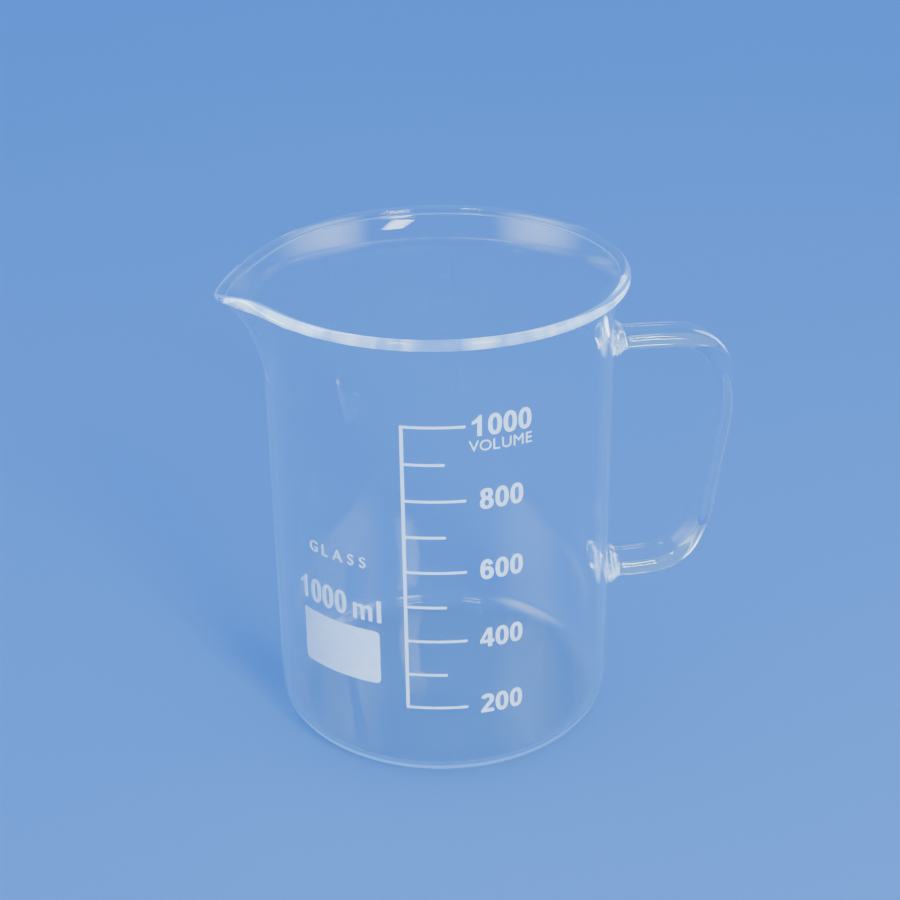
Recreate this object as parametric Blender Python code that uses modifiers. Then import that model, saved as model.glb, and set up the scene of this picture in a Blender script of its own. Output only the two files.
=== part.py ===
"""A 1000 ml low-form laboratory beaker with a pouring spout and a glass handle.

Metres, +Z up. The origin is on the vessel's axis, at the face it stands on. The handle is at
+X, the spout at -X, and the fired-on white enamel marks are on the side that faces -Y.
Angles on the wall are measured from -Y, positive towards +X.
"""

import math

import bmesh
import bpy

# Vessel
BODY_RADIUS = 0.0530
WALL = 0.0018
FLOOR_THICKNESS = 0.0025
OUTER_HEEL_RADIUS = 0.0090
INNER_HEEL_RADIUS = 0.0060
FLARE_START = 0.1320
BEAD_HEIGHT = 0.1466
BEAD_RING_RADIUS = 0.0562
BEAD_RADIUS = 0.0014
FLARE_POWER = 2.2
FLARE_TOP = BEAD_HEIGHT - 0.0013
VESSEL_SEGMENTS = 72
INNER_HEEL_STEPS = 5
OUTER_HEEL_STEPS = 6
FLARE_STEPS = 6
BEAD_STEPS = 9
WALL_RINGS = [0.045, 0.085]

# Spout
SPOUT_START = 0.1180
SPOUT_REACH = 0.0092
SPOUT_DIP = 0.0036
SPOUT_HALF_ANGLE = math.radians(13.5)
SPOUT_SHARPNESS = 1.6
SPOUT_DIP_FOCUS = 1.7
SPOUT_RISE_POWER = 1.25
SPOUT_SEGMENT_CROWDING = 0.4
AXIS_REACH = 0.0001

# Handle: a flattened rod, bent in the XZ plane
HANDLE_HALF_THICKNESS = 0.0036
HANDLE_HALF_WIDTH = 0.0065
HANDLE_SECTION_POINTS = 16
HANDLE_PATH_STEPS = 3
HANDLE_WALL_GAP = 0.0003
WALL_CUTTER_HEIGHT = 0.2
# Points of the rod's middle, from the upper end to the lower: (distance from the vessel's axis,
# height, scale of the section). The ends swell where the rod meets the wall.
HANDLE_PATH = [
    (0.0505, 0.1212, 1.36),
    (0.0542, 0.1212, 1.26),
    (0.0590, 0.1212, 1.02),
    (0.0680, 0.1211, 1.00),
    (0.0775, 0.1203, 1.00),
    (0.0843, 0.1170, 1.00),
    (0.0889, 0.1112, 1.00),
    (0.0909, 0.1035, 1.00),
    (0.0908, 0.0945, 1.00),
    (0.0887, 0.0790, 1.00),
    (0.0864, 0.0630, 1.02),
    (0.0836, 0.0540, 1.06),
    (0.0790, 0.0470, 1.12),
    (0.0720, 0.0430, 1.17),
    (0.0630, 0.0420, 1.18),
    (0.0575, 0.0420, 1.22),
    (0.0542, 0.0420, 1.42),
    (0.0505, 0.0420, 1.52),
]

# Enamel marks
ENAMEL_GAP = 0.00015
ENAMEL_THICKNESS = 0.00025
ENAMEL_INNER = BODY_RADIUS + ENAMEL_GAP
ENAMEL_MIDDLE = ENAMEL_INNER + ENAMEL_THICKNESS / 2
WRAP_STEP = 0.0020
CUT_TOLERANCE = 1e-6
WELD_DISTANCE = 2e-6

# Graduation scale: heights of the marks, each 100 ml apart
LOWEST_VOLUME = 200
HIGHEST_VOLUME = 1000
MINOR_VOLUME = 100
MAJOR_VOLUME = 200
LOWEST_MARK = 0.0270
MARK_SPACING = 0.01168
SCALE_ANGLE = math.radians(-20.3)
SCALE_LINE_WIDTH = 0.0010
MARK_WIDTH = 0.00075
MAJOR_MARK = 0.0186
MINOR_MARK = 0.0126

# Lettering. The sizes of a figure or letter are in parts of a round figure's height.
LIGHT = 0.0
GLYPH_STEPS = 4
GLYPH_RAW_DEPTH = 0.01
FLAT_FOOT = 0.0175
FLAT_TOP = 1.0 - FLAT_FOOT
OVAL_POWER = 0.85
OVAL_STEPS = 28
ARC_STEPS = 8
# Styles: width of the upright strokes, of the level strokes, and a squeeze across
NUMERAL_STYLE = (0.200, 0.170, 1.00)
CAPACITY_STYLE = (0.165, 0.130, 0.85)
ZERO_WIDTH = 0.62
# The figure 1
ONE_WIDTH = 0.43
ONE_TOP_LEFT = 0.60
ONE_FLAG_BEND = 1.25
ONE_FLAG_BEND_HEIGHT = 0.81
ONE_FLAG_TOP = 0.71
ONE_FLAG_FOOT = 0.56
ONE_FLAG_ROOT = 0.66
ONE_LEAD = 0.10
# The figure 2
TWO_WIDTH = 0.60
TWO_BOWL = 0.285
TWO_BOWL_END = -40
TWO_TERMINAL = 166
TWO_FOOT_INSIDE = 0.42
TWO_TAIL = 0.13
# The figure 4: across in parts of its width
FOUR_WIDTH = 0.65
FOUR_STEM_LEFT = 0.55
FOUR_STEM_RIGHT = 0.85
FOUR_BAR_FOOT = 0.225
FOUR_BAR_TOP = 0.375
FOUR_PEAK = 0.51
FOUR_HOLE_TOP = 0.75
FOUR_HOLE_LEFT = 0.22
# The figure 6
SIX_WIDTH = 0.61
SIX_BOWL = 0.325
SIX_BOWL_END = 105
SIX_TERMINAL = 30
SIX_INNER_START = 150
# The figure 8
EIGHT_WIDTH = 0.61
EIGHT_LOW = 0.285
EIGHT_HIGH = 0.255
EIGHT_HIGH_WIDTH = 0.90
EIGHT_LOW_WAIST = 57
EIGHT_HIGH_WAIST = 55
EIGHT_LOW_HOLE = (0.290, 0.145)
EIGHT_HIGH_HOLE = (0.727, 0.122)
# Numerals beside the marks
DIGIT_HEIGHT = 0.00657
DIGIT_PITCH = 0.00460
NUMERAL_GAP = 0.0037
NUMERAL_RISE = 0.00006
TOP_NUMERAL_GAP = 0.0016
SCALE_WORD = "VOLUME"
SCALE_WORD_PITCHES = [0.0031, 0.0037, 0.0028, 0.0033, 0.0040, 0.0026]
SCALE_WORD_HEIGHT = 0.0033
SCALE_WORD_DROP = 0.0079
# Capacity above the panel
CAPACITY_DIGITS = "1000"
CAPACITY_HEIGHT = 0.0079
CAPACITY_PITCH = 0.00495
CAPACITY_RISE = 0.0036
CAPACITY_START = -0.0017
UNIT_M_START = 0.0202
UNIT_M_WIDTH = 0.0063
UNIT_M_HEIGHT = 0.0052
UNIT_M_STEM = 0.00115
UNIT_M_BAR = 0.00095
UNIT_M_NOTCH = 140
UNIT_L_START = 0.0281
UNIT_L_WIDTH = 0.0013
UNIT_L_HEIGHT = 0.0074
GLASS_WORD = "GLASS"
GLASS_WORD_PITCHES = [0.0052, 0.0042, 0.0055, 0.0040, 0.0040]
GLASS_WORD_HEIGHT = 0.0036
GLASS_WORD_START = 0.0030
GLASS_WORD_RISE = 0.0213

# Marking panel and the lines of lettering above it
PANEL_LEFT = math.radians(-59.6)
PANEL_WIDTH = 0.02865
PANEL_RISE = 0.0003
PANEL_BOTTOM = 0.0335
PANEL_HEIGHT = 0.0181
PANEL_CORNER = 0.0016
PANEL_CORNER_STEPS = 4

COLLECTION = "glass_beaker_with_handle"


def clear_scene():
    for obj in list(bpy.data.objects):
        bpy.data.objects.remove(obj, do_unlink=True)


def new_collection(name):
    collection = bpy.data.collections.new(name)
    bpy.context.scene.collection.children.link(collection)
    return collection


def principled(name, colour, roughness, transmission=0.0):
    material = bpy.data.materials.new(name)
    material.use_nodes = True
    shader = material.node_tree.nodes["Principled BSDF"]
    shader.inputs["Base Color"].default_value = (*colour, 1.0)
    shader.inputs["Roughness"].default_value = roughness
    shader.inputs["Metallic"].default_value = 0.0
    shader.inputs["Transmission Weight"].default_value = transmission
    return material


def face_outwards(shape):
    bmesh.ops.recalc_face_normals(shape, faces=shape.faces)
    if shape.calc_volume(signed=True) < 0:
        bmesh.ops.reverse_faces(shape, faces=shape.faces)


def mesh_from(obj):
    """The object's evaluated shape as a new welded mesh. The object is removed."""
    bpy.context.view_layer.update()
    graph = bpy.context.evaluated_depsgraph_get()
    mesh = bpy.data.meshes.new_from_object(obj.evaluated_get(graph))
    mesh.transform(obj.matrix_world)
    bpy.data.objects.remove(obj, do_unlink=True)
    shape = bmesh.new()
    shape.from_mesh(mesh)
    bmesh.ops.remove_doubles(shape, verts=shape.verts, dist=WELD_DISTANCE)
    face_outwards(shape)
    shape.to_mesh(mesh)
    shape.free()
    return mesh


def arc(centre, radius, start, end, steps):
    """Points of a circular arc in the (r, z) plane; angles in degrees from +r towards +z."""
    points = []
    for step in range(steps + 1):
        angle = math.radians(start + (end - start) * step / steps)
        points.append((centre[0] + radius * math.cos(angle), centre[1] + radius * math.sin(angle)))
    return points


def flare_middle(z):
    """The wall's middle radius and its outward slope dr/dz at height z."""
    base = BODY_RADIUS - WALL / 2
    reach = BEAD_RING_RADIUS - base
    rise = BEAD_HEIGHT - FLARE_START
    part = max(0.0, (z - FLARE_START) / rise)
    return base + reach * part**FLARE_POWER, reach * FLARE_POWER * part ** (FLARE_POWER - 1) / rise


def flare_point(z, side):
    """A point of the wall's outer face (side 1) or inner face (side -1) in the flare."""
    radius, slope = flare_middle(z)
    length = math.hypot(1.0, slope)
    return radius + side * WALL / 2 / length, z - side * WALL / 2 * slope / length


def vessel_profile():
    """From the middle of the floor, up the inside, over the bead and down the outside."""
    inner_radius = BODY_RADIUS - WALL
    lean = math.degrees(math.atan(flare_middle(BEAD_HEIGHT)[1]))
    neck = math.degrees(math.asin(WALL / 2 / BEAD_RADIUS))
    flare_step = (FLARE_TOP - FLARE_START) / FLARE_STEPS
    heights = [FLARE_START + flare_step * step for step in range(FLARE_STEPS + 1)]
    straight = [*WALL_RINGS, SPOUT_START]
    profile = [(0.0, FLOOR_THICKNESS), (inner_radius / 2, FLOOR_THICKNESS)]
    inner_heel = (inner_radius - INNER_HEEL_RADIUS, FLOOR_THICKNESS + INNER_HEEL_RADIUS)
    profile += arc(inner_heel, INNER_HEEL_RADIUS, -90, 0, INNER_HEEL_STEPS)
    profile += [(inner_radius, z) for z in straight]
    profile += [flare_point(z, -1) for z in heights]
    bead = (BEAD_RING_RADIUS, BEAD_HEIGHT)
    profile += arc(bead, BEAD_RADIUS, 270 - lean - neck, neck - lean - 90, BEAD_STEPS)
    profile += [flare_point(z, 1) for z in reversed(heights)]
    profile += [(BODY_RADIUS, z) for z in reversed(straight)]
    outer_heel = (BODY_RADIUS - OUTER_HEEL_RADIUS, OUTER_HEEL_RADIUS)
    profile += arc(outer_heel, OUTER_HEEL_RADIUS, 0, -90, OUTER_HEEL_STEPS)
    profile += [((BODY_RADIUS - OUTER_HEEL_RADIUS) / 2, 0.0), (0.0, 0.0)]
    return profile


def shape_spout(mesh):
    """Draws the wall out along -X into a pointed spout whose tip dips below the rim."""
    top = BEAD_HEIGHT + BEAD_RADIUS
    for vertex in mesh.vertices:
        x, y, z = vertex.co
        radius = math.hypot(x, y)
        if radius < AXIS_REACH:
            continue
        angle = math.atan2(-y, -x)
        angle -= SPOUT_SEGMENT_CROWDING * math.sin(angle)
        lobe = math.exp(-((abs(angle) / SPOUT_HALF_ANGLE) ** SPOUT_SHARPNESS))
        rise = max(0.0, (z - SPOUT_START) / (top - SPOUT_START)) ** SPOUT_RISE_POWER
        radius += SPOUT_REACH * lobe * rise
        vertex.co.x = -radius * math.cos(angle)
        vertex.co.y = -radius * math.sin(angle)
        vertex.co.z = z - SPOUT_DIP * lobe**SPOUT_DIP_FOCUS * rise


def make_vessel(parts, glass):
    points = vessel_profile()
    mesh = bpy.data.meshes.new("vessel_profile")
    vertices = [(r, 0.0, z) for r, z in points]
    edges = [(index, index + 1) for index in range(len(points) - 1)]
    mesh.from_pydata(vertices, edges, [])
    turned = bpy.data.objects.new("vessel_profile", mesh)
    parts.objects.link(turned)
    screw = turned.modifiers.new("turn", "SCREW")
    screw.axis = "Z"
    screw.steps = VESSEL_SEGMENTS
    screw.render_steps = VESSEL_SEGMENTS
    screw.use_merge_vertices = True
    screw.merge_threshold = 0.00001
    vessel_mesh = mesh_from(turned)
    shape_spout(vessel_mesh)
    vessel_mesh.shade_smooth()
    vessel = bpy.data.objects.new("vessel", vessel_mesh)
    vessel.data.materials.append(glass)
    parts.objects.link(vessel)


def handle_section(cutters):
    """The flattened round section that the handle's path carries."""
    data = bpy.data.curves.new("handle_section", "CURVE")
    data.dimensions = "2D"
    outline = data.splines.new("POLY")
    outline.points.add(HANDLE_SECTION_POINTS - 1)
    for index, point in enumerate(outline.points):
        angle = 2 * math.pi * index / HANDLE_SECTION_POINTS
        across = HANDLE_HALF_THICKNESS * math.cos(angle)
        wide = HANDLE_HALF_WIDTH * math.sin(angle)
        point.co = (wide, across, 0.0, 1.0)
    outline.use_cyclic_u = True
    section = bpy.data.objects.new("handle_section", data)
    cutters.objects.link(section)
    section.hide_render = True
    section.display_type = "WIRE"
    return section


def make_handle(parts, cutters, glass):
    """The rod, its two ends cut to the curve of the wall."""
    data = bpy.data.curves.new("handle_path", "CURVE")
    data.dimensions = "3D"
    data.resolution_u = HANDLE_PATH_STEPS
    data.bevel_mode = "OBJECT"
    data.bevel_object = handle_section(cutters)
    data.use_fill_caps = True
    data.twist_mode = "MINIMUM"
    spline = data.splines.new("BEZIER")
    spline.bezier_points.add(len(HANDLE_PATH) - 1)
    for point, (distance, height, scale) in zip(spline.bezier_points, HANDLE_PATH):
        point.co = (distance, 0.0, height)
        point.handle_left_type = "AUTO"
        point.handle_right_type = "AUTO"
        point.radius = scale
    rod = bpy.data.objects.new("handle_path", data)
    parts.objects.link(rod)
    mesh = mesh_from(rod)
    handle = bpy.data.objects.new("handle", mesh)
    handle.data.materials.append(glass)
    parts.objects.link(handle)

    bpy.ops.mesh.primitive_cylinder_add(
        vertices=VESSEL_SEGMENTS,
        radius=BODY_RADIUS + HANDLE_WALL_GAP,
        depth=WALL_CUTTER_HEIGHT,
        location=(0.0, 0.0, WALL_CUTTER_HEIGHT / 2),
    )
    wall = bpy.context.object
    wall.name = "handle_wall_cutter"
    wall.hide_render = True
    wall.display_type = "WIRE"
    for collection in list(wall.users_collection):
        collection.objects.unlink(wall)
    cutters.objects.link(wall)
    fit = handle.modifiers.new("fit_to_wall", "BOOLEAN")
    fit.operation = "DIFFERENCE"
    fit.solver = "EXACT"
    fit.object = wall
    handle.data.shade_smooth()


def wrap_on_wall(mesh, start_angle):
    """Bends a flat mark round the vessel: x becomes arc length from start_angle, y height."""
    shape = bmesh.new()
    shape.from_mesh(mesh)
    left = min(vertex.co.x for vertex in shape.verts)
    right = max(vertex.co.x for vertex in shape.verts)
    cuts = int((right - left) / WRAP_STEP)
    for index in range(1, cuts + 1):
        x = left + (right - left) * index / (cuts + 1)
        everything = list(shape.verts) + list(shape.edges) + list(shape.faces)
        bmesh.ops.bisect_plane(
            shape, geom=everything, plane_co=(x, 0, 0), plane_no=(1, 0, 0), dist=CUT_TOLERANCE
        )
    for vertex in shape.verts:
        angle = start_angle + vertex.co.x / ENAMEL_MIDDLE
        radius = ENAMEL_MIDDLE + vertex.co.z
        height = vertex.co.y
        vertex.co = (radius * math.sin(angle), -radius * math.cos(angle), height)
    face_outwards(shape)
    shape.to_mesh(mesh)
    shape.free()


def enamel_piece(name, flat, parts, enamel, start_angle):
    mesh = mesh_from(flat)
    wrap_on_wall(mesh, start_angle)
    mesh.name = name
    piece = bpy.data.objects.new(name, mesh)
    piece.data.materials.clear()
    piece.data.materials.append(enamel)
    parts.objects.link(piece)


def flat_outline(loops, parts):
    """Flat filled loops, thickened to the enamel's thickness. A loop in a loop is a hole."""
    data = bpy.data.curves.new("outline", "CURVE")
    data.dimensions = "2D"
    data.fill_mode = "BOTH"
    data.extrude = ENAMEL_THICKNESS / 2
    for points in loops:
        spline = data.splines.new("POLY")
        spline.points.add(len(points) - 1)
        for point, (x, y) in zip(spline.points, points):
            point.co = (x, y, 0.0, 1.0)
        spline.use_cyclic_u = True
    flat = bpy.data.objects.new("outline", data)
    parts.objects.link(flat)
    return flat


def volume_height(volume):
    return LOWEST_MARK + MARK_SPACING * (volume - LOWEST_VOLUME) / MINOR_VOLUME


def make_scale(parts, enamel):
    """One comb-shaped outline: the upright line and its marks, long at every 200 ml."""
    half = MARK_WIDTH / 2
    top = volume_height(HIGHEST_VOLUME) + half
    bottom = volume_height(LOWEST_VOLUME) - half
    points = [(0.0, top), (0.0, bottom)]
    for volume in range(LOWEST_VOLUME, HIGHEST_VOLUME + 1, MINOR_VOLUME):
        height = volume_height(volume)
        length = MINOR_MARK if volume % MAJOR_VOLUME else MAJOR_MARK
        if volume > LOWEST_VOLUME:
            points.append((SCALE_LINE_WIDTH, height - half))
        points.append((length, height - half))
        points.append((length, height + half))
        if volume < HIGHEST_VOLUME:
            points.append((SCALE_LINE_WIDTH, height + half))
    enamel_piece("graduation_scale", flat_outline([points], parts), parts, enamel, SCALE_ANGLE)


def make_panel(parts, enamel):
    """The white panel to write on, with three round corners and a square top left one.

    It is printed slightly askew, its right side a little higher.
    """
    right = PANEL_WIDTH - PANEL_CORNER
    top = PANEL_BOTTOM + PANEL_HEIGHT
    low = PANEL_BOTTOM + PANEL_CORNER
    points = [(0.0, top)]
    points += arc((PANEL_CORNER, low), PANEL_CORNER, 180, 270, PANEL_CORNER_STEPS)
    points += arc((right, low), PANEL_CORNER, 270, 360, PANEL_CORNER_STEPS)
    points += arc((right, top - PANEL_CORNER), PANEL_CORNER, 0, 90, PANEL_CORNER_STEPS)
    points = [(x, y + PANEL_RISE * x / PANEL_WIDTH) for x, y in points]
    enamel_piece("marking_panel", flat_outline([points], parts), parts, enamel, PANEL_LEFT)


def oval(middle, half_width, half_height, start=0, end=360, steps=OVAL_STEPS):
    """Points round an oval a little fuller than an ellipse; angles in degrees from +x."""
    points = []
    for step in range(steps + 1):
        angle = math.radians(start + (end - start) * step / steps)
        across = math.copysign(abs(math.cos(angle)) ** OVAL_POWER, math.cos(angle))
        up = math.copysign(abs(math.sin(angle)) ** OVAL_POWER, math.sin(angle))
        points.append((middle[0] + half_width * across, middle[1] + half_height * up))
    return points


def figure_zero(stem, bar, squeeze):
    half = ZERO_WIDTH * squeeze / 2
    outside = oval((half, 0.5), half, 0.5)[1:]
    hole = oval((half, 0.5), half - stem, 0.5 - bar)[1:]
    return [outside, hole]


def figure_one(stem, bar, squeeze):
    width = ONE_WIDTH * squeeze
    outside = [
        (width - stem, FLAT_FOOT),
        (width, FLAT_FOOT),
        (width, FLAT_TOP),
        (width - ONE_TOP_LEFT * stem, FLAT_TOP),
        (width - ONE_FLAG_BEND * stem, ONE_FLAG_BEND_HEIGHT),
        (0.0, ONE_FLAG_TOP),
        (0.0, ONE_FLAG_FOOT),
        (width - stem, ONE_FLAG_ROOT),
    ]
    return [outside]


def figure_two(stem, bar, squeeze):
    width = TWO_WIDTH * squeeze
    middle = (width / 2, 1.0 - TWO_BOWL)
    outer = oval(middle, width / 2, TWO_BOWL, TWO_BOWL_END, TWO_TERMINAL, 2 * ARC_STEPS)
    inner = oval(
        middle, width / 2 - stem, TWO_BOWL - bar, TWO_TERMINAL, TWO_BOWL_END, 2 * ARC_STEPS
    )
    foot = [
        (0.0, FLAT_FOOT),
        (width, FLAT_FOOT),
        (width, FLAT_FOOT + bar),
        (TWO_FOOT_INSIDE * width, FLAT_FOOT + bar),
    ]
    return [foot + outer + inner + [(0.0, TWO_TAIL)]]


def figure_four(stem, bar, squeeze):
    width = FOUR_WIDTH * squeeze
    left = FOUR_STEM_LEFT * width
    right = FOUR_STEM_RIGHT * width
    outside = [
        (left, FLAT_FOOT),
        (right, FLAT_FOOT),
        (right, FOUR_BAR_FOOT),
        (width, FOUR_BAR_FOOT),
        (width, FOUR_BAR_TOP),
        (right, FOUR_BAR_TOP),
        (right, FLAT_TOP),
        (FOUR_PEAK * width, FLAT_TOP),
        (0.0, FOUR_BAR_TOP),
        (0.0, FOUR_BAR_FOOT),
        (left, FOUR_BAR_FOOT),
    ]
    hole = [
        (left, FOUR_BAR_TOP),
        (left, FOUR_HOLE_TOP),
        (FOUR_HOLE_LEFT * width, FOUR_BAR_TOP),
    ]
    return [outside, hole]


def figure_six(stem, bar, squeeze):
    half = SIX_WIDTH * squeeze / 2
    back = oval((half, 0.5), half, 0.5, SIX_TERMINAL, 270, 2 * ARC_STEPS)
    bowl = oval((half, SIX_BOWL), half, SIX_BOWL, -90, SIX_BOWL_END, 2 * ARC_STEPS)
    inner = oval((half, 0.5), half - stem, 0.5 - bar, SIX_INNER_START, SIX_TERMINAL, ARC_STEPS)
    hole = oval((half, SIX_BOWL), half - stem, SIX_BOWL - bar, steps=2 * ARC_STEPS)[1:]
    return [back + bowl[1:] + inner, hole]


def figure_eight(stem, bar, squeeze):
    half = EIGHT_WIDTH * squeeze / 2
    low_turn = (180 - EIGHT_LOW_WAIST, 360 + EIGHT_LOW_WAIST)
    high_turn = (-EIGHT_HIGH_WAIST, 180 + EIGHT_HIGH_WAIST)
    high_half = EIGHT_HIGH_WIDTH * half
    low = oval((half, EIGHT_LOW), half, EIGHT_LOW, *low_turn, 3 * ARC_STEPS)
    high = oval((half, 1.0 - EIGHT_HIGH), high_half, EIGHT_HIGH, *high_turn, 3 * ARC_STEPS)
    loops = [low + high]
    for side, (height, half_height) in ((half, EIGHT_LOW_HOLE), (high_half, EIGHT_HIGH_HOLE)):
        loops.append(oval((half, height), side - stem, half_height, steps=2 * ARC_STEPS)[1:])
    return loops


FIGURES = {
    "0": figure_zero,
    "1": figure_one,
    "2": figure_two,
    "4": figure_four,
    "6": figure_six,
    "8": figure_eight,
}


def figure(character, height, style, parts):
    """A flat figure, its left edge at x = 0; the foot of a round one is at y = 0."""
    loops = FIGURES[character](*style)
    return flat_outline([[(x * height, y * height) for x, y in loop] for loop in loops], parts)


def letter_m(parts):
    """A flat lower-case m: three stems under two round arches."""
    stem = UNIT_M_STEM
    gap = (UNIT_M_WIDTH - 3 * stem) / 2
    crown = UNIT_M_HEIGHT - UNIT_M_BAR
    radius = gap / 2
    shoulder = radius + stem / 2
    points = [(0.0, 0.0), (stem, 0.0)]
    for left in (stem, 2 * stem + gap):
        points += arc((left + radius, crown - radius), radius, 180, 0, ARC_STEPS)
        points += [(left + gap, 0.0), (left + gap + stem, 0.0)]
    low = UNIT_M_HEIGHT - shoulder
    right = UNIT_M_WIDTH - shoulder
    points += arc((right, low), shoulder, 0, UNIT_M_NOTCH, ARC_STEPS)
    points += arc((right - gap - stem, low), shoulder, 180 - UNIT_M_NOTCH, UNIT_M_NOTCH, ARC_STEPS)
    points += [(stem, points[-1][1]), (stem, UNIT_M_HEIGHT), (0.0, UNIT_M_HEIGHT)]
    return flat_outline([points], parts)


def letter_l(parts):
    """A flat lower-case l: one upright stroke."""
    corners = [
        (0.0, 0.0),
        (UNIT_L_WIDTH, 0.0),
        (UNIT_L_WIDTH, UNIT_L_HEIGHT),
        (0.0, UNIT_L_HEIGHT),
    ]
    return flat_outline([corners], parts)


def light_letter(character, height, parts):
    """A flat light capital of the given height, its left edge at x = 0 and its foot at y = 0."""
    data = bpy.data.curves.new("letter", "FONT")
    data.body = character
    data.resolution_u = GLYPH_STEPS
    data.offset = LIGHT
    data.extrude = GLYPH_RAW_DEPTH
    flat = bpy.data.objects.new("letter", data)
    parts.objects.link(flat)
    mesh = mesh_from(flat)
    left = min(vertex.co.x for vertex in mesh.vertices)
    low = min(vertex.co.y for vertex in mesh.vertices)
    tall = max(vertex.co.y for vertex in mesh.vertices) - low
    scale = height / tall
    for vertex in mesh.vertices:
        vertex.co.x = (vertex.co.x - left) * scale
        vertex.co.y = (vertex.co.y - low) * scale
        vertex.co.z = math.copysign(ENAMEL_THICKNESS / 2, vertex.co.z)
    shaped = bpy.data.objects.new("letter", mesh)
    parts.objects.link(shaped)
    return shaped


def place_line(names, flats, angle, foot, pitches, parts, enamel, leads):
    """Puts one line on the wall, a node to each flat character, each centred in its own pitch."""
    x = 0.0
    for name, flat, width, lead in zip(names, flats, pitches, leads):
        bpy.context.view_layer.update()
        flat.location = (x + (width - flat.dimensions.x) / 2 - lead, foot, 0.0)
        enamel_piece(name, flat, parts, enamel, angle)
        x += width


def write_figures(names, text, angle, foot, height, pitch, style, parts, enamel):
    """A figure 1 stands left of its pitch's middle, as in print."""
    flats = [figure(character, height, style, parts) for character in text]
    leads = [ONE_LEAD * height if character == "1" else 0.0 for character in text]
    place_line(names, flats, angle, foot, [pitch] * len(text), parts, enamel, leads)


def write_word(names, text, angle, foot, height, pitches, parts, enamel):
    flats = [light_letter(character, height, parts) for character in text]
    place_line(names, flats, angle, foot, pitches, parts, enamel, [0.0] * len(text))


def numbered(stem, text):
    return [f"{stem}_{place}" for place in range(1, len(text) + 1)]


def make_numerals(parts, enamel):
    """The volumes beside the long marks, the lower ones a little higher on their marks."""
    for volume in range(LOWEST_VOLUME, HIGHEST_VOLUME + 1, MAJOR_VOLUME):
        text = str(volume)
        gap = TOP_NUMERAL_GAP if volume == HIGHEST_VOLUME else NUMERAL_GAP
        angle = SCALE_ANGLE + (MAJOR_MARK + gap) / ENAMEL_MIDDLE
        names = numbered(f"volume_{volume}_digit", text)
        rise = NUMERAL_RISE * (HIGHEST_VOLUME - volume) / MINOR_VOLUME
        foot = volume_height(volume) - DIGIT_HEIGHT / 2 + rise
        write_figures(
            names, text, angle, foot, DIGIT_HEIGHT, DIGIT_PITCH, NUMERAL_STYLE, parts, enamel
        )


def make_scale_word(parts, enamel):
    """The small word under the top numeral."""
    names = numbered("scale_word_letter", SCALE_WORD)
    angle = SCALE_ANGLE + (MAJOR_MARK + TOP_NUMERAL_GAP / 2) / ENAMEL_MIDDLE
    foot = volume_height(HIGHEST_VOLUME) - SCALE_WORD_DROP
    pitches = SCALE_WORD_PITCHES
    write_word(names, SCALE_WORD, angle, foot, SCALE_WORD_HEIGHT, pitches, parts, enamel)


def make_capacity(parts, enamel):
    """The capacity above the marking panel."""
    foot = PANEL_BOTTOM + PANEL_HEIGHT + CAPACITY_RISE
    names = numbered("capacity_digit", CAPACITY_DIGITS)
    angle = PANEL_LEFT + CAPACITY_START / ENAMEL_MIDDLE
    write_figures(
        names,
        CAPACITY_DIGITS,
        angle,
        foot,
        CAPACITY_HEIGHT,
        CAPACITY_PITCH,
        CAPACITY_STYLE,
        parts,
        enamel,
    )
    units = (
        ("capacity_unit_m", letter_m(parts), UNIT_M_START),
        ("capacity_unit_l", letter_l(parts), UNIT_L_START),
    )
    for name, flat, start in units:
        flat.location.y = foot
        bpy.context.view_layer.update()
        enamel_piece(name, flat, parts, enamel, PANEL_LEFT + start / ENAMEL_MIDDLE)


def make_glass_word(parts, enamel):
    """The small word above the capacity."""
    names = numbered("glass_word_letter", GLASS_WORD)
    angle = PANEL_LEFT + GLASS_WORD_START / ENAMEL_MIDDLE
    foot = PANEL_BOTTOM + PANEL_HEIGHT + GLASS_WORD_RISE
    pitches = GLASS_WORD_PITCHES
    write_word(names, GLASS_WORD, angle, foot, GLASS_WORD_HEIGHT, pitches, parts, enamel)


def main():
    clear_scene()
    parts = new_collection(COLLECTION)
    cutters = new_collection("cutters")
    glass = principled("clear_glass", (0.90, 0.95, 0.97), 0.02, transmission=1.0)
    enamel = principled("white_enamel", (0.90, 0.91, 0.92), 0.35)
    make_vessel(parts, glass)
    make_handle(parts, cutters, glass)
    make_scale(parts, enamel)
    make_panel(parts, enamel)
    make_numerals(parts, enamel)
    make_scale_word(parts, enamel)
    make_capacity(parts, enamel)
    make_glass_word(parts, enamel)


main()
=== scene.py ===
"""Looks for the 1000 ml glass beaker with a handle: clear glass, white fired enamel, studio.

Metres, +Z up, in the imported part's own frame: the vessel's axis is Z, it stands on Z = 0, the
handle is at +X, the spout at -X and the marks face -Y. Angles on the wall are measured from -Y,
positive towards +X.
"""

import math

import bmesh
import bpy
from mathutils import Matrix, Vector


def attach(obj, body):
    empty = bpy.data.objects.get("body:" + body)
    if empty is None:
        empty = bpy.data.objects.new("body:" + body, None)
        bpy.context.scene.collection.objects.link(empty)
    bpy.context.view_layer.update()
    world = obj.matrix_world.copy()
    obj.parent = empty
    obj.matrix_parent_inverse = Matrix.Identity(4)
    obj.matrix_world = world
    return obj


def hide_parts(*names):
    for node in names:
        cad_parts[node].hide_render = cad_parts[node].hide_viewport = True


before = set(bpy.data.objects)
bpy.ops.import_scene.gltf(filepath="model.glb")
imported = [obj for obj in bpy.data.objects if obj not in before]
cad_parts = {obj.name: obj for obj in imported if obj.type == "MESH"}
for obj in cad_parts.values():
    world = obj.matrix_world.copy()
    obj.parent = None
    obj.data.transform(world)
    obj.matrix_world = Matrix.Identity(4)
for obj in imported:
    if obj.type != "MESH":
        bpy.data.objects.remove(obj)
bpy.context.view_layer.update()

# Vessel
BODY_RADIUS = 0.0530
WALL = 0.0018
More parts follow.
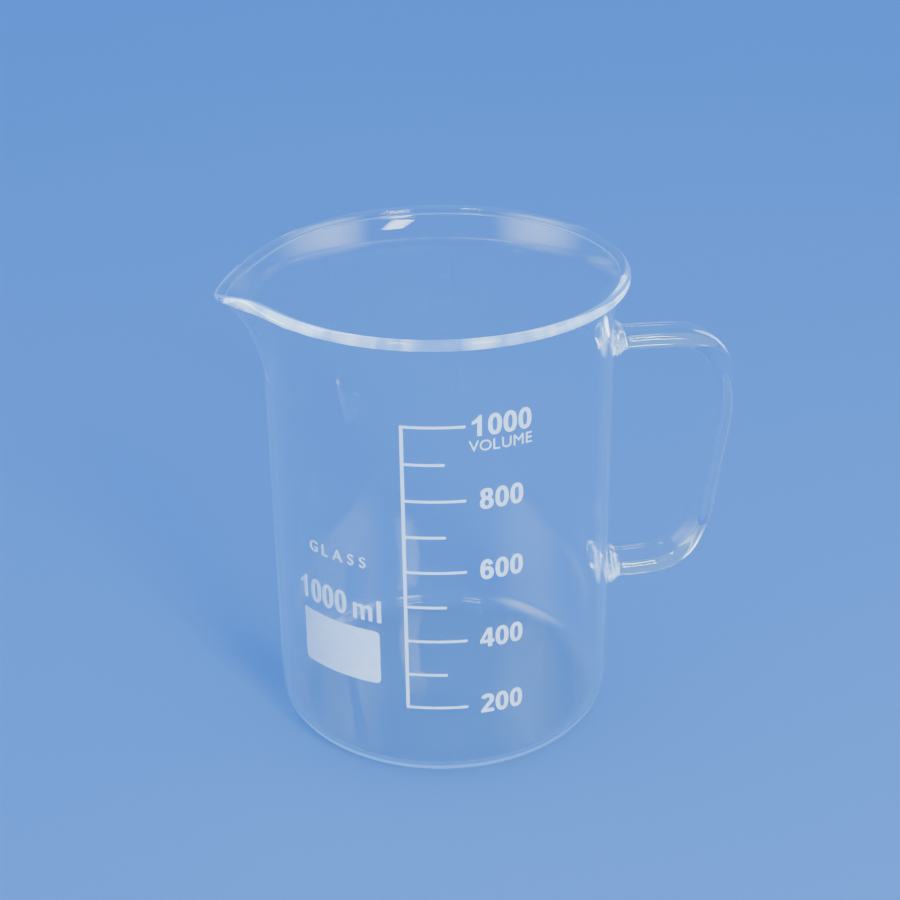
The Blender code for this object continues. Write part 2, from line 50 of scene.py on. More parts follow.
FLOOR_THICKNESS = 0.0025
OUTER_HEEL_RADIUS = 0.0090
INNER_HEEL_RADIUS = 0.0060
STANDING_RADIUS = 0.0400
PUSH_UP = 0.0007
FLARE_START = 0.1320
BEAD_HEIGHT = 0.1464
BEAD_RING_RADIUS = 0.0560
BEAD_RADIUS = 0.0016
FLARE_POWER = 2.2
FLARE_STOP = 0.0013  # how far below the bead's middle the flare's rings stop
FLARE_TOP = BEAD_HEIGHT - FLARE_STOP
# Unevenness of the blown glass; the wall's dies out over FLARE_FADE above the flare's start.
# WAVES: (share, waves round the wall, radians per metre upwards, shift with the seed)
WAVES = [(0.5, 3, 31, 1.3), (0.3, 5, -47, 2.1), (0.2, 2, 83, 0.7)]
FLARE_FADE = 0.012
INNER_WAVE = 0.00005
OUTER_WAVE = 0.00004
INNER_WAVE_SEED = 1.0
OUTER_WAVE_SEED = 4.0
BASE_WAVE = 0.00009
BASE_WAVE_LENGTH = 0.0040
# Mesh of the vessel: segments round, crowded towards spout and handle, and rings' spacing
VESSEL_SEGMENTS = 320
SEGMENT_CROWDING = 0.6
BASE_RING_SPACING = 0.0030
WALL_RING_SPACING = 0.0040
WELD_RING_SPACING = 0.0006
FLARE_RING_SPACING = 0.0006
HEEL_STEPS = 20
BEAD_STEPS = 28

# Spout
SPOUT_START = 0.1180
SPOUT_REACH = 0.0092
SPOUT_DIP = 0.0036
SPOUT_HALF_ANGLE = math.radians(13.5)
SPOUT_SHARPNESS = 1.6
SPOUT_DIP_FOCUS = 1.7
SPOUT_RISE_POWER = 1.25

# Handle
HANDLE_HALF_THICKNESS = 0.0036
HANDLE_HALF_WIDTH = 0.0065
HANDLE_SEGMENTS = 64
HANDLE_STEPS = 10
WELD_GAP = 0.00006
WELD_REACH = 0.0056
WELD_LUMP = 0.00018
WELD_RIPPLE = 0.00016
WELD_RIPPLE_LENGTH = 0.0013
# Lumps: (share, waves round the rod, radians per metre upwards, shift)
WELD_LUMPS = [(0.6, 5, 90, 0.0), (0.4, 9, 0, 2.0)]
CAP_RINGS = 8

# Painted light: a glow in the glass, in place of light trapped in it, along the front of the bead,
# fainter in the middle of it, and round the welds. On the bead it is a painted highlight.
# GLOW_START is its lower edge in front; it lies lower by GLOW_SLANT at the sides. GLOW_EDGE and
# GLOW_EDGE_TURN place the upright plane where it ends.
GLOW_START = 0.1449
GLOW_RISE = 0.0007
GLOW_SLANT = 0.0036
GLOW_EDGE = 0.0069
GLOW_EDGE_TURN = 0.089
GLOW_FADE = 0.0110
GLOW_GAP_MIDDLE = math.radians(-8.0)
GLOW_GAP_HALF = math.radians(8.0)
GLOW_GAP_SOFT = math.radians(6.0)
GLOW_GAP_LEVEL = 0.15
GLOW_REACH = 0.0050
WELD_GLOW_CORE = 0.4
WELD_TRAP = 0.45
# The glow shows once a ray's count of reflections, plus one where it meets the glass from inside,
# is over GLOW_BOUNCES. GLOW_SOONER comes off that limit where trap is 1.
GLOW_BOUNCES = 3.5
GLOW_SOONER = 3.0
GLOW_DARK = (0.07, 0.22, 0.62)
GLOW_BRIGHT = (0.95, 1.30, 1.45)
GLOW_SPOT_SCALE = 130.0
GLOW_SPOT_RANGE = (0.35, 0.60)
GLOW_SPOT_LEAST = 0.25

# Welds
# The wall bulges inwards a little behind each weld: (height, half width, half height)
WELD_SPOTS = [(0.1212, 0.0088, 0.0056), (0.0420, 0.0098, 0.0062)]
WELD_BULGE = 0.0007
WELD_BULGE_RIPPLE = 0.25
WELD_BULGE_RINGS = 11.0
# Points of the rod's middle, from the upper weld to the lower: (distance from the vessel's axis,
# height, scale of the section)
HANDLE_PATH = [
    (0.0530, 0.1212, 1.44),
    (0.0541, 0.1212, 1.45),
    (0.0552, 0.1212, 1.36),
    (0.0562, 0.1212, 1.18),
    (0.0572, 0.1212, 1.03),
    (0.0600, 0.1212, 1.00),
    (0.0680, 0.1211, 1.00),
    (0.0775, 0.1203, 1.00),
    (0.0843, 0.1170, 1.00),
    (0.0889, 0.1112, 1.00),
    (0.0909, 0.1035, 1.00),
    (0.0908, 0.0945, 1.00),
    (0.0887, 0.0790, 1.00),
    (0.0864, 0.0630, 1.02),
    (0.0836, 0.0540, 1.06),
    (0.0790, 0.0470, 1.12),
    (0.0720, 0.0430, 1.17),
    (0.0630, 0.0420, 1.18),
    (0.0580, 0.0420, 1.17),
    (0.0566, 0.0420, 1.24),
    (0.0554, 0.0420, 1.45),
    (0.0541, 0.0420, 1.57),
    (0.0530, 0.0420, 1.56),
]

# Camera: turn from -Y towards the spout, distance and height from the origin, and its own turns
CAMERA_TURN = math.radians(8.0)
CAMERA_DISTANCE = 0.5153
CAMERA_HEIGHT = 0.343032
CAMERA_PAN = 0.006
CAMERA_TILT = 0.461
CAMERA_ROLL = -0.014
CAMERA_LENS = 73.746
SENSOR_WIDTH = 36.0

# Glass: tint, and scale and strength of the fine waves of its surface
GLASS_IOR = 1.473
VESSEL_GLASS = {"tint": (0.985, 0.995, 0.995), "wave_scale": 30.0, "wave_strength": 0.05}
HANDLE_GLASS = {"tint": (0.980, 0.992, 0.992), "wave_scale": 60.0, "wave_strength": 0.08}
GLASS_WAVE_DEPTH = 0.0002
GLASS_CLOUD_SCALE = 40.0
GLASS_CLOUD_RANGE = (0.3, 0.7)
GLASS_ROUGHEST = 0.012
# What lamps' rays keep as they pass the glass: square on and at its edge
SHADOW_CLEAR = (0.985, 0.988, 0.99)
SHADOW_EDGE = (0.55, 0.58, 0.60)
SHADOW_BLEND = 0.25

# Enamel
ENAMEL_IOR = 1.5
ENAMEL_DARK = (0.68, 0.80, 0.95)
ENAMEL_LIGHT = (0.82, 0.90, 0.98)
ENAMEL_CLOUD_SCALE = 260.0
ENAMEL_CLOUD_RANGE = (0.25, 0.75)
ENAMEL_ROUGHNESS = (0.28, 0.46)
ENAMEL_GRAIN_SCALE = 1800.0
ENAMEL_GRAIN_STRENGTH = 0.15
ENAMEL_GRAIN_DEPTH = 0.00005

# Floor and sky
FLOOR_RADIUS = 4.0
FLOOR_SEGMENTS = 96
FLOOR_HEIGHT = -0.0002
FLOOR_COLOUR = (0.26, 0.57, 0.97)
FLOOR_SHADE = 0.94
FLOOR_CLOUD_SCALE = 2.5
FLOOR_ROUGHNESS = 0.85
SKY_LOW = (0.13, 0.36, 1.00)
SKY_HIGH = (0.15, 0.40, 1.00)
SKY_STRENGTH = 1.2

# Lamps: place, aim, size across and up, watts, width of the soft edge across and up (0 to 0.5),
# lean of the lit face, the kinds of ray that don't see the lamp, and what it lights (None: all)
LAMP_COLOUR = (0.74, 0.90, 1.0)
SOFTBOX = {"edge": (0.50, 0.35), "lean": 0.0, "unseen": ("diffuse",), "lights": "vessel"}
STRIP = {"edge": (0.20, 0.20), "lean": 0.0, "unseen": ("diffuse",), "lights": "handle"}
HIGH = {"edge": (0.06, 0.06), "lean": 0.0, "unseen": ("diffuse",), "lights": None}
FILL = {"edge": (0.20, 0.20), "lean": 0.0, "unseen": ("glossy", "transmission"), "lights": "enamel"}
LAMPS = {
    "softbox_left": {
        "place": (-0.90, -0.18, 0.60),
        "aim": (0.0, -0.18, 0.60),
        "size": (1.45, 1.2),
        "watts": 34.0,
        **SOFTBOX,
    },
    "softbox_right": {
        "place": (0.90, -0.38, 0.60),
        "aim": (0.0, -0.38, 0.60),
        "size": (1.70, 1.2),
        "watts": 38.0,
        **SOFTBOX,
    },
    "strip_left": {
        "place": (-0.90, 0.55, 0.60),
        "aim": (0.0, 0.55, 0.60),
        "size": (0.12, 1.2),
        "watts": 16.0,
        **STRIP,
    },
    "strip_right": {
        "place": (0.90, 0.68, 0.60),
        "aim": (0.0, 0.68, 0.60),
        "size": (0.45, 1.2),
        "watts": 14.0,
        **STRIP,
    },
    "window": {
        "place": (0.36, -1.05, 0.70),
        "aim": (0.0, 0.0, 0.12),
        "size": (0.52, 0.27),
        "watts": 17.0,
        "edge": (0.22, 0.05),
        "lean": 0.30,
        "unseen": (),
        "lights": None,
    },
    "high_right": {
        "place": (0.31, -0.61, 1.10),
        "aim": (0.0, 0.0, 0.12),
        "size": (0.30, 0.16),
        "watts": 7.0,
        **HIGH,
    },
    "high_left": {
        "place": (-0.44, -0.53, 1.10),
        "aim": (0.0, 0.0, 0.12),
        "size": (0.24, 0.16),
        "watts": 7.0,
        **HIGH,
    },
    "fill": {
        "place": (0.10, -1.30, 0.40),
        "aim": (0.0, 0.0, 0.08),
        "size": (1.0, 0.6),
        "watts": 38.0,
        **FILL,
    },
    "back_fill": {
        "place": (-0.10, 1.30, 0.40),
        "aim": (0.0, 0.0, 0.08),
        "size": (1.0, 0.6),
        "watts": 22.0,
        **FILL,
    },
}


def smooth_step(value):
    value = min(max(value, 0.0), 1.0)
    return value * value * (3.0 - 2.0 * value)


def arc(centre, radius, start, end, steps):
    """Points of a circular arc in the (r, z) plane; angles in degrees from +r towards +z."""
    points = []
    for step in range(steps + 1):
        angle = math.radians(start + (end - start) * step / steps)
        points.append((centre[0] + radius * math.cos(angle), centre[1] + radius * math.sin(angle)))
    return points


def spaced(start, end, step):
    """Heights from start to end, both included, about step apart."""
    count = max(1, round(abs(end - start) / step))
    return [start + (end - start) * index / count for index in range(count + 1)]


def flare_middle(z):
    """The wall's middle radius and its outward slope dr/dz at height z."""
    base = BODY_RADIUS - WALL / 2
    reach = BEAD_RING_RADIUS - base
    rise = BEAD_HEIGHT - FLARE_START
    part = max(0.0, (z - FLARE_START) / rise)
    return base + reach * part**FLARE_POWER, reach * FLARE_POWER * part ** (FLARE_POWER - 1) / rise


def flare_point(z, side):
    """A point of the wall's outer face (side 1) or inner face (side -1) in the flare."""
    radius, slope = flare_middle(z)
    length = math.hypot(1.0, slope)
    return radius + side * WALL / 2 / length, z - side * WALL / 2 * slope / length


def push_up(radius):
    """How far the base is pushed up off the bench, highest in the middle."""
    return PUSH_UP * (1.0 - smooth_step(radius / STANDING_RADIUS))


def wall_heights(low, high):
    """Ring heights between low and high, both left out, closer together at the welds."""
    heights = []
    start = low
    for weld, _, half_height in reversed(WELD_SPOTS):
        heights += spaced(start, weld - half_height, WALL_RING_SPACING)
        heights += spaced(weld - half_height, weld + half_height, WELD_RING_SPACING)[1:-1]
        start = weld + half_height
    heights += spaced(start, high, WALL_RING_SPACING)
    return heights[1:-1]


def vessel_profile():
    """From the middle of the floor, up the inside, over the bead and down the outside."""
    inner_radius = BODY_RADIUS - WALL
    lean = math.degrees(math.atan(flare_middle(BEAD_HEIGHT)[1]))
    neck = math.degrees(math.asin(WALL / 2 / BEAD_RADIUS))
    flare = spaced(FLARE_START, FLARE_TOP, FLARE_RING_SPACING)
    floor_radii = spaced(0.0, inner_radius - INNER_HEEL_RADIUS, BASE_RING_SPACING)[:-1]
    base_radii = spaced(BODY_RADIUS - OUTER_HEEL_RADIUS, 0.0, BASE_RING_SPACING)[1:]
    inner_heel = (inner_radius - INNER_HEEL_RADIUS, FLOOR_THICKNESS + INNER_HEEL_RADIUS)
    outer_heel = (BODY_RADIUS - OUTER_HEEL_RADIUS, OUTER_HEEL_RADIUS)
    profile = [(r, FLOOR_THICKNESS + push_up(r)) for r in floor_radii]
    profile += arc(inner_heel, INNER_HEEL_RADIUS, -90, 0, HEEL_STEPS)
    profile += [(inner_radius, z) for z in wall_heights(inner_heel[1], FLARE_START)]
    profile += [flare_point(z, -1) for z in flare]
    bead = (BEAD_RING_RADIUS, BEAD_HEIGHT)
    profile += arc(bead, BEAD_RADIUS, 270 - lean - neck, neck - lean - 90, BEAD_STEPS)
    profile += [flare_point(z, 1) for z in reversed(flare)]
    profile += [(BODY_RADIUS, z) for z in reversed(wall_heights(outer_heel[1], FLARE_START))]
    profile += arc(outer_heel, OUTER_HEEL_RADIUS, 0, -90, HEEL_STEPS)
    profile += [(r, push_up(r)) for r in base_radii]
    return profile


def spout_shape(radius, angle, z):
    """A point of the turned vessel (angle from -X), drawn out into the spout."""
    top = BEAD_HEIGHT + BEAD_RADIUS
    lobe = math.exp(-((abs(angle) / SPOUT_HALF_ANGLE) ** SPOUT_SHARPNESS))
    rise = max(0.0, (z - SPOUT_START) / (top - SPOUT_START)) ** SPOUT_RISE_POWER
    radius += SPOUT_REACH * lobe * rise
    height = z - SPOUT_DIP * lobe**SPOUT_DIP_FOCUS * rise
    return Vector((-radius * math.cos(angle), -radius * math.sin(angle), height))


def wave(angle, z, seed):
    """Slow unevenness of blown glass, between about -1 and 1."""
    return sum(
        share * math.sin(round_wall * angle + upwards * z + shift * seed)
        for share, round_wall, upwards, shift in WAVES
    )


def base_lift(radius, angle, z):
    """How uneven the inside of the base is: two crossing waves that bend each other."""
    if z > FLOOR_THICKNESS + PUSH_UP or radius > STANDING_RADIUS:
        return 0.0
    across = radius * math.sin(angle) / BASE_WAVE_LENGTH
    along = radius * math.cos(angle) / BASE_WAVE_LENGTH
    uneven = math.sin(across + 1.7 * math.sin(0.7 * along))
    uneven *= math.sin(along + math.sin(1.3 * across))
    return BASE_WAVE * uneven * (1.0 - smooth_step(radius / STANDING_RADIUS))


def mark(piece, name, weight):
    """Stores a number for each point of a piece, 0 to 1, for its material."""
    values = piece.data.attributes.new(name, "FLOAT", "POINT")
    for vertex, value in zip(piece.data.vertices, values.data):
        value.value = weight(vertex.co)


def weld_nearness(point):
    """1 at a weld, falling to 0 a little way from it."""
    if point.x <= 0.0:
        return 0.0
    near = 0.0
    out = (math.hypot(point.x, point.y) - BODY_RADIUS) / GLOW_REACH
    for height, half_width, half_height in WELD_SPOTS:
        aside = point.y / half_width
        above = (point.z - height) / half_height
        distance = math.sqrt(aside**2 + above**2 + out**2)
        near = max(near, 1.0 - smooth_step(distance - WELD_GLOW_CORE))
    return near


def front_bead(point):
    """1 on the front half of the rim's bead, 0 elsewhere. It reaches lower towards the sides."""
    if point.z < FLARE_START:
        return 0.0
    low = GLOW_START - GLOW_SLANT * (1.0 + point.y / math.hypot(point.x, point.y))
    height = smooth_step((point.z - low) / GLOW_RISE)
    behind = point.y + GLOW_EDGE_TURN * point.x + GLOW_EDGE
    return height * smooth_step(0.5 - behind / GLOW_FADE)


def vessel_glow(point):
    """How bright the vessel's painted glow is."""
    aside = abs(math.atan2(point.x, -point.y) - GLOW_GAP_MIDDLE) - GLOW_GAP_HALF
    gap = GLOW_GAP_LEVEL + (1.0 - GLOW_GAP_LEVEL) * smooth_step(0.5 + aside / GLOW_GAP_SOFT)
    return max(front_bead(point) * gap, weld_nearness(point))


def vessel_trap(point):
    """How soon the vessel's glow shows."""
    return max(front_bead(point), WELD_TRAP * weld_nearness(point))


def handle_trap(point):
    """How soon the handle's glow shows."""
    return WELD_TRAP * weld_nearness(point)


def add_object(name, data):
    """A new object in the scene."""
    made = bpy.data.objects.new(name, data)
    bpy.context.scene.collection.objects.link(made)
    return made


def finish_mesh(name, shape):
    """Turns the shape into an object, with its faces outwards and smooth."""
    bmesh.ops.recalc_face_normals(shape, faces=shape.faces)
    if shape.calc_volume(signed=True) < 0:
        bmesh.ops.reverse_faces(shape, faces=shape.faces)
    mesh = bpy.data.meshes.new(name)
    shape.to_mesh(mesh)
    shape.free()
    mesh.shade_smooth()
    return add_object(name, mesh)


def join_rings(shape, rings):
    """Quads between neighbouring closed rings of vertices."""
    for lower, upper in zip(rings, rings[1:]):
        count = len(lower)
        for index in range(count):
            after = (index + 1) % count
            shape.faces.new((lower[index], lower[after], upper[after], upper[index]))


def close_ring(shape, ring, centre):
    """Fills a ring with triangles round a new vertex at its centre."""
    middle = shape.verts.new(centre)
    for index in range(len(ring)):
        shape.faces.new((ring[index - 1], ring[index], middle))


def weld_bulge(angle, z):
    """How far the inner face stands in behind the welds, with the ripples of a fused joint."""
    bulge = 0.0
    for height, half_width, half_height in WELD_SPOTS:
        aside = BODY_RADIUS * (math.pi - abs(angle)) / half_width
        above = (z - height) / half_height
        out = math.hypot(aside, above)
        # Rings round the weld's middle, pushed in and out twice on the way round
        turn = math.atan2(above, aside)
        rings = math.sin(WELD_BULGE_RINGS * out + 3.0 * math.sin(2.0 * turn))
        ripple = 1.0 - WELD_BULGE_RIPPLE + WELD_BULGE_RIPPLE * rings
        bulge += WELD_BULGE * (1.0 - smooth_step(out)) * ripple
    return bulge


def build_vessel():
    profile = vessel_profile()
    half = len(profile) // 2
    shape = bmesh.new()
    rings = []
    for row, (radius, z) in enumerate(profile[1:-1], start=1):
        inside = row < half
        size = INNER_WAVE if inside else OUTER_WAVE
        seed = INNER_WAVE_SEED if inside else OUTER_WAVE_SEED
        fade = smooth_step(z / OUTER_HEEL_RADIUS)
        fade *= 1.0 - smooth_step((z - FLARE_START) / FLARE_FADE)
        ring = []
        for index in range(VESSEL_SEGMENTS):
            angle = 2 * math.pi * index / VESSEL_SEGMENTS - math.pi
            angle -= SEGMENT_CROWDING * math.sin(2 * angle) / 2
            sink = size * (0.5 + 0.5 * wave(angle, z, seed)) * fade
            lift = 0.0
            if inside:
                sink += weld_bulge(angle, z)
                lift = base_lift(radius, angle, z)
            ring.append(shape.verts.new(spout_shape(radius - sink, angle, z + lift)))
        rings.append(ring)
    join_rings(shape, rings)
    close_ring(shape, rings[0], (0.0, 0.0, profile[0][1]))
    close_ring(shape, rings[-1], (0.0, 0.0, profile[-1][1]))
    return finish_mesh("vessel_glass", shape)


def path_point(points, place):
    """Catmull-Rom interpolation of the points at place, counted in points."""
    last = len(points) - 1
    index = min(int(place), last - 1)
    part = place - index
    before = points[max(index - 1, 0)]
    start = points[index]
    end = points[index + 1]
    after = points[min(index + 2, last)]
    mixed = []
    for p0, p1, p2, p3 in zip(before, start, end, after):
        bend = 2 * p0 - 5 * p1 + 4 * p2 - p3
        twist = 3 * p1 - p0 - 3 * p2 + p3
        mixed.append(0.5 * (2 * p1 + (p2 - p0) * part + bend * part**2 + twist * part**3))
    return mixed


def weld_unevenness(angle, out, height):
    """Lumps round the rod and ripples along it, beside a weld."""
    lump = sum(
        share * math.sin(round_rod * angle + upwards * height + shift)
        for share, round_rod, upwards, shift in WELD_LUMPS
    )
    # The ripples aren't plain rings: their phase shifts round the rod
    phase = 1.5 * math.sin(3 * angle + 60 * height)
    ripple = math.sin(2 * math.pi * out / WELD_RIPPLE_LENGTH + phase)
    return WELD_LUMP * lump + WELD_RIPPLE * ripple


def build_handle():
    """A swept flattened rod. Its two end rings lie on the wall and are closed there."""
    shape = bmesh.new()
    count = (len(HANDLE_PATH) - 1) * HANDLE_STEPS
    route = [path_point(HANDLE_PATH, index / HANDLE_STEPS) for index in range(count + 1)]
    wall = BODY_RADIUS + WELD_GAP
    rings = []
    for index, (distance, height, scale) in enumerate(route):
        before = route[max(index - 1, 0)]
        after = route[min(index + 1, count)]
        along = Vector((after[0] - before[0], 0.0, after[1] - before[1])).normalized()
        across = Vector((-along.z, 0.0, along.x))
        near = 1.0 - smooth_step((distance - BODY_RADIUS) / WELD_REACH)
        ring = []
        for step in range(HANDLE_SEGMENTS):
            angle = 2 * math.pi * step / HANDLE_SEGMENTS
            swell = near * weld_unevenness(angle, distance - BODY_RADIUS, height)
            thick = (HANDLE_HALF_THICKNESS * scale + swell) * math.cos(angle)
            wide = (HANDLE_HALF_WIDTH * scale + swell) * math.sin(angle)
            point = Vector((distance, 0.0, height)) + across * thick + Vector((0.0, wide, 0.0))
            sink = BODY_RADIUS - math.sqrt(max(BODY_RADIUS**2 - point.y**2, 0.0))
            point.x = max(point.x - sink * near, math.sqrt(wall**2 - point.y**2))
            ring.append(shape.verts.new(point))
        rings.append(ring)
    join_rings(shape, rings)
    for end in (rings[0], rings[-1]):
        edge = [vertex.co.copy() for vertex in end]
        middle = sum(edge, Vector()) / len(edge)
        caps = [end]
        for step in range(1, CAP_RINGS):
            part = 1.0 - step / CAP_RINGS
            cap = []
            for corner in edge:
                point = middle.lerp(corner, part)
                point.x = math.sqrt(wall**2 - point.y**2)
                cap.append(shape.verts.new(point))
            caps.append(cap)
        join_rings(shape, caps)
        close_ring(shape, caps[-1], (math.sqrt(wall**2 - middle.y**2), middle.y, middle.z))
    return finish_mesh("handle_glass", shape)


def node_input(node, name, value):
    node.inputs[name].default_value = value


def new_material(name):
    """A material, its node tree and its shader."""
    material = bpy.data.materials.new(name)
    material.use_nodes = True
    tree = material.node_tree
    return material, tree, tree.nodes["Principled BSDF"]


def feed(tree, shader, sources):
    """Links each source to the shader's socket of that name."""
    for name, source in sources.items():
        tree.links.new(source, shader.inputs[name])


def noise(tree, scale, detail):
    """Noise fixed to the object, 0 to 1."""
    place = tree.nodes.new("ShaderNodeTexCoord")
    texture = tree.nodes.new("ShaderNodeTexNoise")
    node_input(texture, "Scale", scale)
    node_input(texture, "Detail", detail)
    tree.links.new(place.outputs["Object"], texture.inputs["Vector"])
    return texture.outputs["Fac"]


def blend(tree, value, low, high, span=(0.0, 1.0)):
    """A colour that goes from low to high as the value crosses the span."""
    node = tree.nodes.new("ShaderNodeValToRGB")
    for element, colour, position in zip(node.color_ramp.elements, (low, high), span):
        element.color = (*colour, 1.0)
        element.position = position
    tree.links.new(value, node.inputs["Fac"])
    return node.outputs["Color"]


def stretch(tree, value, low, high, span=(0.0, 1.0), course="LINEAR"):
    """A number that goes from low to high as the value crosses the span."""
    node = tree.nodes.new("ShaderNodeMapRange")
    node.interpolation_type = course
    node_input(node, "From Min", span[0])
    node_input(node, "From Max", span[1])
    node_input(node, "To Min", low)
    node_input(node, "To Max", high)
    tree.links.new(value, node.inputs["Value"])
    return node.outputs["Result"]


def bump(tree, height, strength, distance):
    """A normal for a surface of this height."""
    node = tree.nodes.new("ShaderNodeBump")
    node_input(node, "Strength", strength)
    node_input(node, "Distance", distance)
    tree.links.new(height, node.inputs["Height"])
    return node.outputs["Normal"]


def attribute(tree, name):
    """The number that mark() stored under this name."""
    node = tree.nodes.new("ShaderNodeAttribute")
    node.attribute_name = name
    return node.outputs["Fac"]


def math_node(tree, operation, *values):
    """The result of a Math node; each value is a number or the output of another node."""
    node = tree.nodes.new("ShaderNodeMath")
    node.operation = operation
    for value, socket in zip(values, node.inputs):
        if isinstance(value, float):
            socket.default_value = value
        else:
            tree.links.new(value, socket)
    return node.outputs["Value"]


def glass_glow(tree):
    """Colour and strength of the painted glow. Fine patches make its colour uneven."""
    path = tree.nodes.new("ShaderNodeLightPath")
    face = tree.nodes.new("ShaderNodeNewGeometry")
    bounces = math_node(tree, "ADD", path.outputs["Glossy Depth"], face.outputs["Backfacing"])
    limit = stretch(tree, attribute(tree, "trap"), GLOW_BOUNCES, GLOW_BOUNCES - GLOW_SOONER)
    strength = math_node(tree, "GREATER_THAN", bounces, limit)
    spots = noise(tree, GLOW_SPOT_SCALE, detail=2.0)
    patchy = stretch(tree, spots, GLOW_SPOT_LEAST, 1.0, GLOW_SPOT_RANGE)
    amount = math_node(tree, "MULTIPLY", attribute(tree, "glow"), patchy)
    return blend(tree, amount, GLOW_DARK, GLOW_BRIGHT), strength


def glass_material(name, tint, wave_scale, wave_strength):
    """Clear glass with a painted glow. Lamps' rays and diffuse rays pass straight through, slightly
    dimmed.
    """
    material, tree, shader = new_material(name)
    node_input(shader, "Transmission Weight", 1.0)
    node_input(shader, "IOR", GLASS_IOR)
    node_input(shader, "Metallic", 0.0)
    cloud = noise(tree, GLASS_CLOUD_SCALE, detail=3.0)
    waves = noise(tree, wave_scale, detail=1.0)
    glow_colour, glow_strength = glass_glow(tree)
    sources = {
        "Base Color": blend(tree, cloud, tint, (1.0, 1.0, 1.0), GLASS_CLOUD_RANGE),
        "Roughness": stretch(tree, cloud, 0.0, GLASS_ROUGHEST),
        "Normal": bump(tree, waves, wave_strength, GLASS_WAVE_DEPTH),
        # Painted light: the glass glows where the glow and trap attributes say, though it is no
        # lamp
        "Emission Color": glow_colour,
        "Emission Strength": glow_strength,
    }
    feed(tree, shader, sources)
    material.cycles.emission_sampling = "NONE"

    edge = tree.nodes.new("ShaderNodeLayerWeight")
    node_input(edge, "Blend", SHADOW_BLEND)
    clear = tree.nodes.new("ShaderNodeBsdfTransparent")
    dimmed = blend(tree, edge.outputs["Facing"], SHADOW_CLEAR, SHADOW_EDGE)
    tree.links.new(dimmed, clear.inputs["Color"])
    path = tree.nodes.new("ShaderNodeLightPath")
    surface = shader.outputs["BSDF"]
    for kind in ("Is Diffuse Ray", "Is Shadow Ray"):
        mix = tree.nodes.new("ShaderNodeMixShader")
        tree.links.new(path.outputs[kind], mix.inputs["Fac"])
        tree.links.new(surface, mix.inputs[1])
        tree.links.new(clear.outputs["BSDF"], mix.inputs[2])
        surface = mix.outputs["Shader"]
    tree.links.new(surface, tree.nodes["Material Output"].inputs["Surface"])
    return material


def enamel_material():
    """White fired enamel, a little uneven in tone, with a fine orange-peel gloss."""
    material, tree, shader = new_material("white_enamel")
    node_input(shader, "Metallic", 0.0)
    node_input(shader, "IOR", ENAMEL_IOR)
    cloud = noise(tree, ENAMEL_CLOUD_SCALE, detail=5.0)
    grain = noise(tree, ENAMEL_GRAIN_SCALE, detail=2.0)
    sources = {
        "Base Color": blend(tree, cloud, ENAMEL_DARK, ENAMEL_LIGHT, ENAMEL_CLOUD_RANGE),
        "Roughness": stretch(tree, cloud, *ENAMEL_ROUGHNESS),
        "Normal": bump(tree, grain, ENAMEL_GRAIN_STRENGTH, ENAMEL_GRAIN_DEPTH),
    }
    feed(tree, shader, sources)
    return material


def build_floor():
    shape = bmesh.new()
    bmesh.ops.create_circle(shape, cap_ends=True, segments=FLOOR_SEGMENTS, radius=FLOOR_RADIUS)
    mesh = bpy.data.meshes.new("floor")
    shape.to_mesh(mesh)
    shape.free()
    floor = add_object("floor", mesh)
    floor.location.z = FLOOR_HEIGHT
    material, tree, shader = new_material("pale_floor")
    node_input(shader, "Roughness", FLOOR_ROUGHNESS)
    shade = [FLOOR_SHADE * part for part in FLOOR_COLOUR]
    cloud = noise(tree, FLOOR_CLOUD_SCALE, detail=2.0)
    feed(tree, shader, {"Base Color": blend(tree, cloud, shade, FLOOR_COLOUR)})
    mesh.materials.append(material)


def build_world():
    world = bpy.data.worlds.new("studio")
    bpy.context.scene.world = world
    world.use_nodes = True
    tree = world.node_tree
    background = tree.nodes["Background"]
    node_input(background, "Strength", SKY_STRENGTH)
    place = tree.nodes.new("ShaderNodeTexCoord")
    split = tree.nodes.new("ShaderNodeSeparateXYZ")
    tree.links.new(place.outputs["Generated"], split.inputs["Vector"])
    feed(tree, background, {"Color": blend(tree, split.outputs["Z"], SKY_LOW, SKY_HIGH)})


def soften_edges(data, edges, lean):
    """Makes a lamp's face fade towards its edges; a lean turns the lit oblong into a rhomboid."""
    data.use_nodes = True
    tree = data.node_tree
    face = tree.nodes.new("ShaderNodeNewGeometry")
    split = tree.nodes.new("ShaderNodeSeparateXYZ")
    tree.links.new(face.outputs["Parametric"], split.inputs["Vector"])
    across = math_node(tree, "SUBTRACT", split.outputs["X"], 0.5)
    up = math_node(tree, "SUBTRACT", split.outputs["Y"], 0.5)
    leaned = math_node(tree, "MULTIPLY_ADD", up, lean, across)
    limits = (0.5 - abs(lean) / 2, 0.5)
    fades = []
    for side, limit, edge in zip((leaned, up), limits, edges):
        distance = math_node(tree, "ABSOLUTE", side)
        fades.append(stretch(tree, distance, 0.0, 1.0, (limit, limit - edge), "SMOOTHSTEP"))
    strength = math_node(tree, "MULTIPLY", *fades)
    tree.links.new(strength, tree.nodes["Emission"].inputs["Strength"])


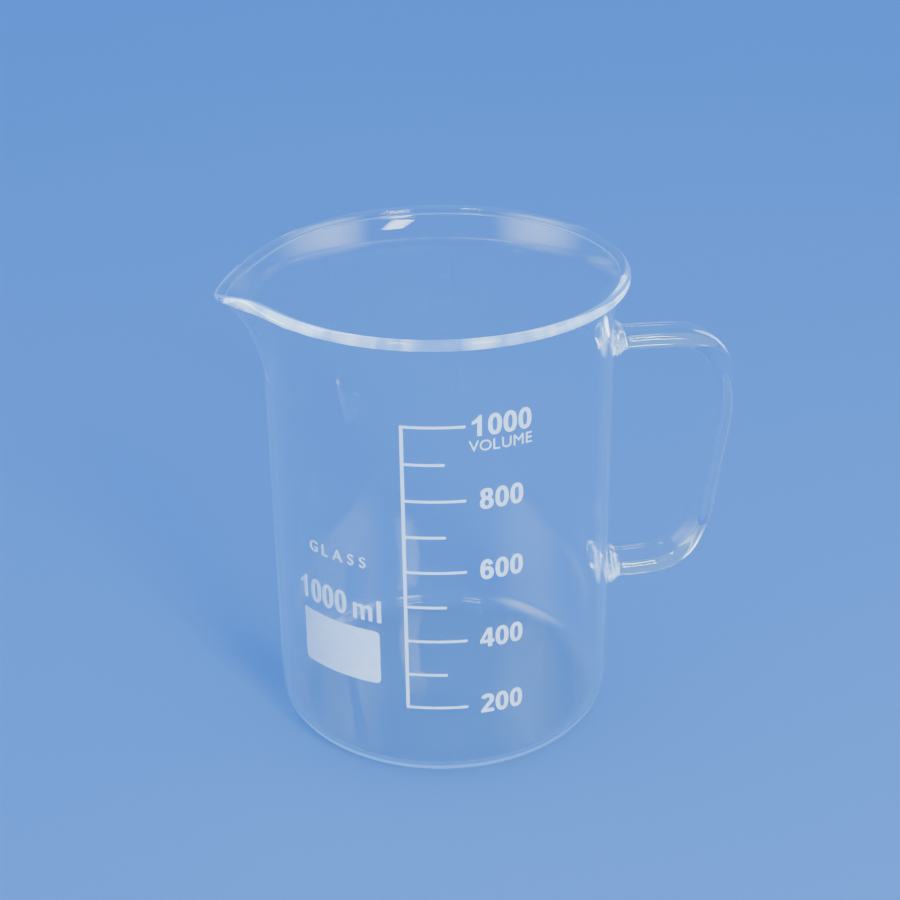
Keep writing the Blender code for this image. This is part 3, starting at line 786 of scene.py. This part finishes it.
def build_lights(pieces):
    for name, lamp in LAMPS.items():
        data = bpy.data.lights.new(name, "AREA")
        data.shape = "RECTANGLE"
        data.size, data.size_y = lamp["size"]
        data.energy = lamp["watts"]
        data.color = LAMP_COLOUR
        soften_edges(data, lamp["edge"], lamp["lean"])
        light = add_object(name, data)
        light.location = lamp["place"]
        direction = Vector(lamp["aim"]) - Vector(lamp["place"])
        light.rotation_euler = direction.to_track_quat("-Z", "Y").to_euler()
        light.visible_camera = False
        light.visible_diffuse = "diffuse" not in lamp["unseen"]
        light.visible_glossy = "glossy" not in lamp["unseen"]
        light.visible_transmission = "transmission" not in lamp["unseen"]
        if lamp["lights"]:
            receivers = bpy.data.collections.new(name + "_lights")
            for piece in pieces[lamp["lights"]]:
                receivers.objects.link(piece)
            light.light_linking.receiver_collection = receivers


def build_camera():
    turn = Matrix.Rotation(-CAMERA_TURN, 3, "Z")
    tilt, pan = CAMERA_TILT, CAMERA_PAN
    forward = turn @ Vector(
        (math.sin(pan) * math.cos(tilt), math.cos(pan) * math.cos(tilt), -math.sin(tilt))
    )
    level = turn @ Vector((math.cos(pan), -math.sin(pan), 0.0))
    upright = level.cross(forward)
    right = math.cos(CAMERA_ROLL) * level + math.sin(CAMERA_ROLL) * upright
    up = math.cos(CAMERA_ROLL) * upright - math.sin(CAMERA_ROLL) * level
    data = bpy.data.cameras.new("camera")
    data.lens = CAMERA_LENS
    data.sensor_width = SENSOR_WIDTH
    camera = add_object("camera", data)
    place = turn @ Vector((0.0, -CAMERA_DISTANCE, CAMERA_HEIGHT))
    axes = Matrix((right, up, -forward)).transposed().to_4x4()
    camera.matrix_world = Matrix.Translation(place) @ axes
    bpy.context.scene.camera = camera


vessel = build_vessel()
vessel.data.materials.append(glass_material("vessel_clear_glass", **VESSEL_GLASS))
handle = build_handle()
handle.data.materials.append(glass_material("handle_clear_glass", **HANDLE_GLASS))
mark(vessel, "glow", vessel_glow)
mark(vessel, "trap", vessel_trap)
mark(handle, "glow", weld_nearness)
mark(handle, "trap", handle_trap)
for piece, node in ((vessel, "vessel"), (handle, "handle")):
    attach(piece, "root")
    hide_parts(node)

enamel = enamel_material()
marks = [node for name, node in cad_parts.items() if name not in ("vessel", "handle")]
for node in marks:
    node.data.materials.clear()
    node.data.materials.append(enamel)

build_floor()
build_world()
build_lights({"vessel": [vessel], "handle": [handle], "enamel": marks})
build_camera()
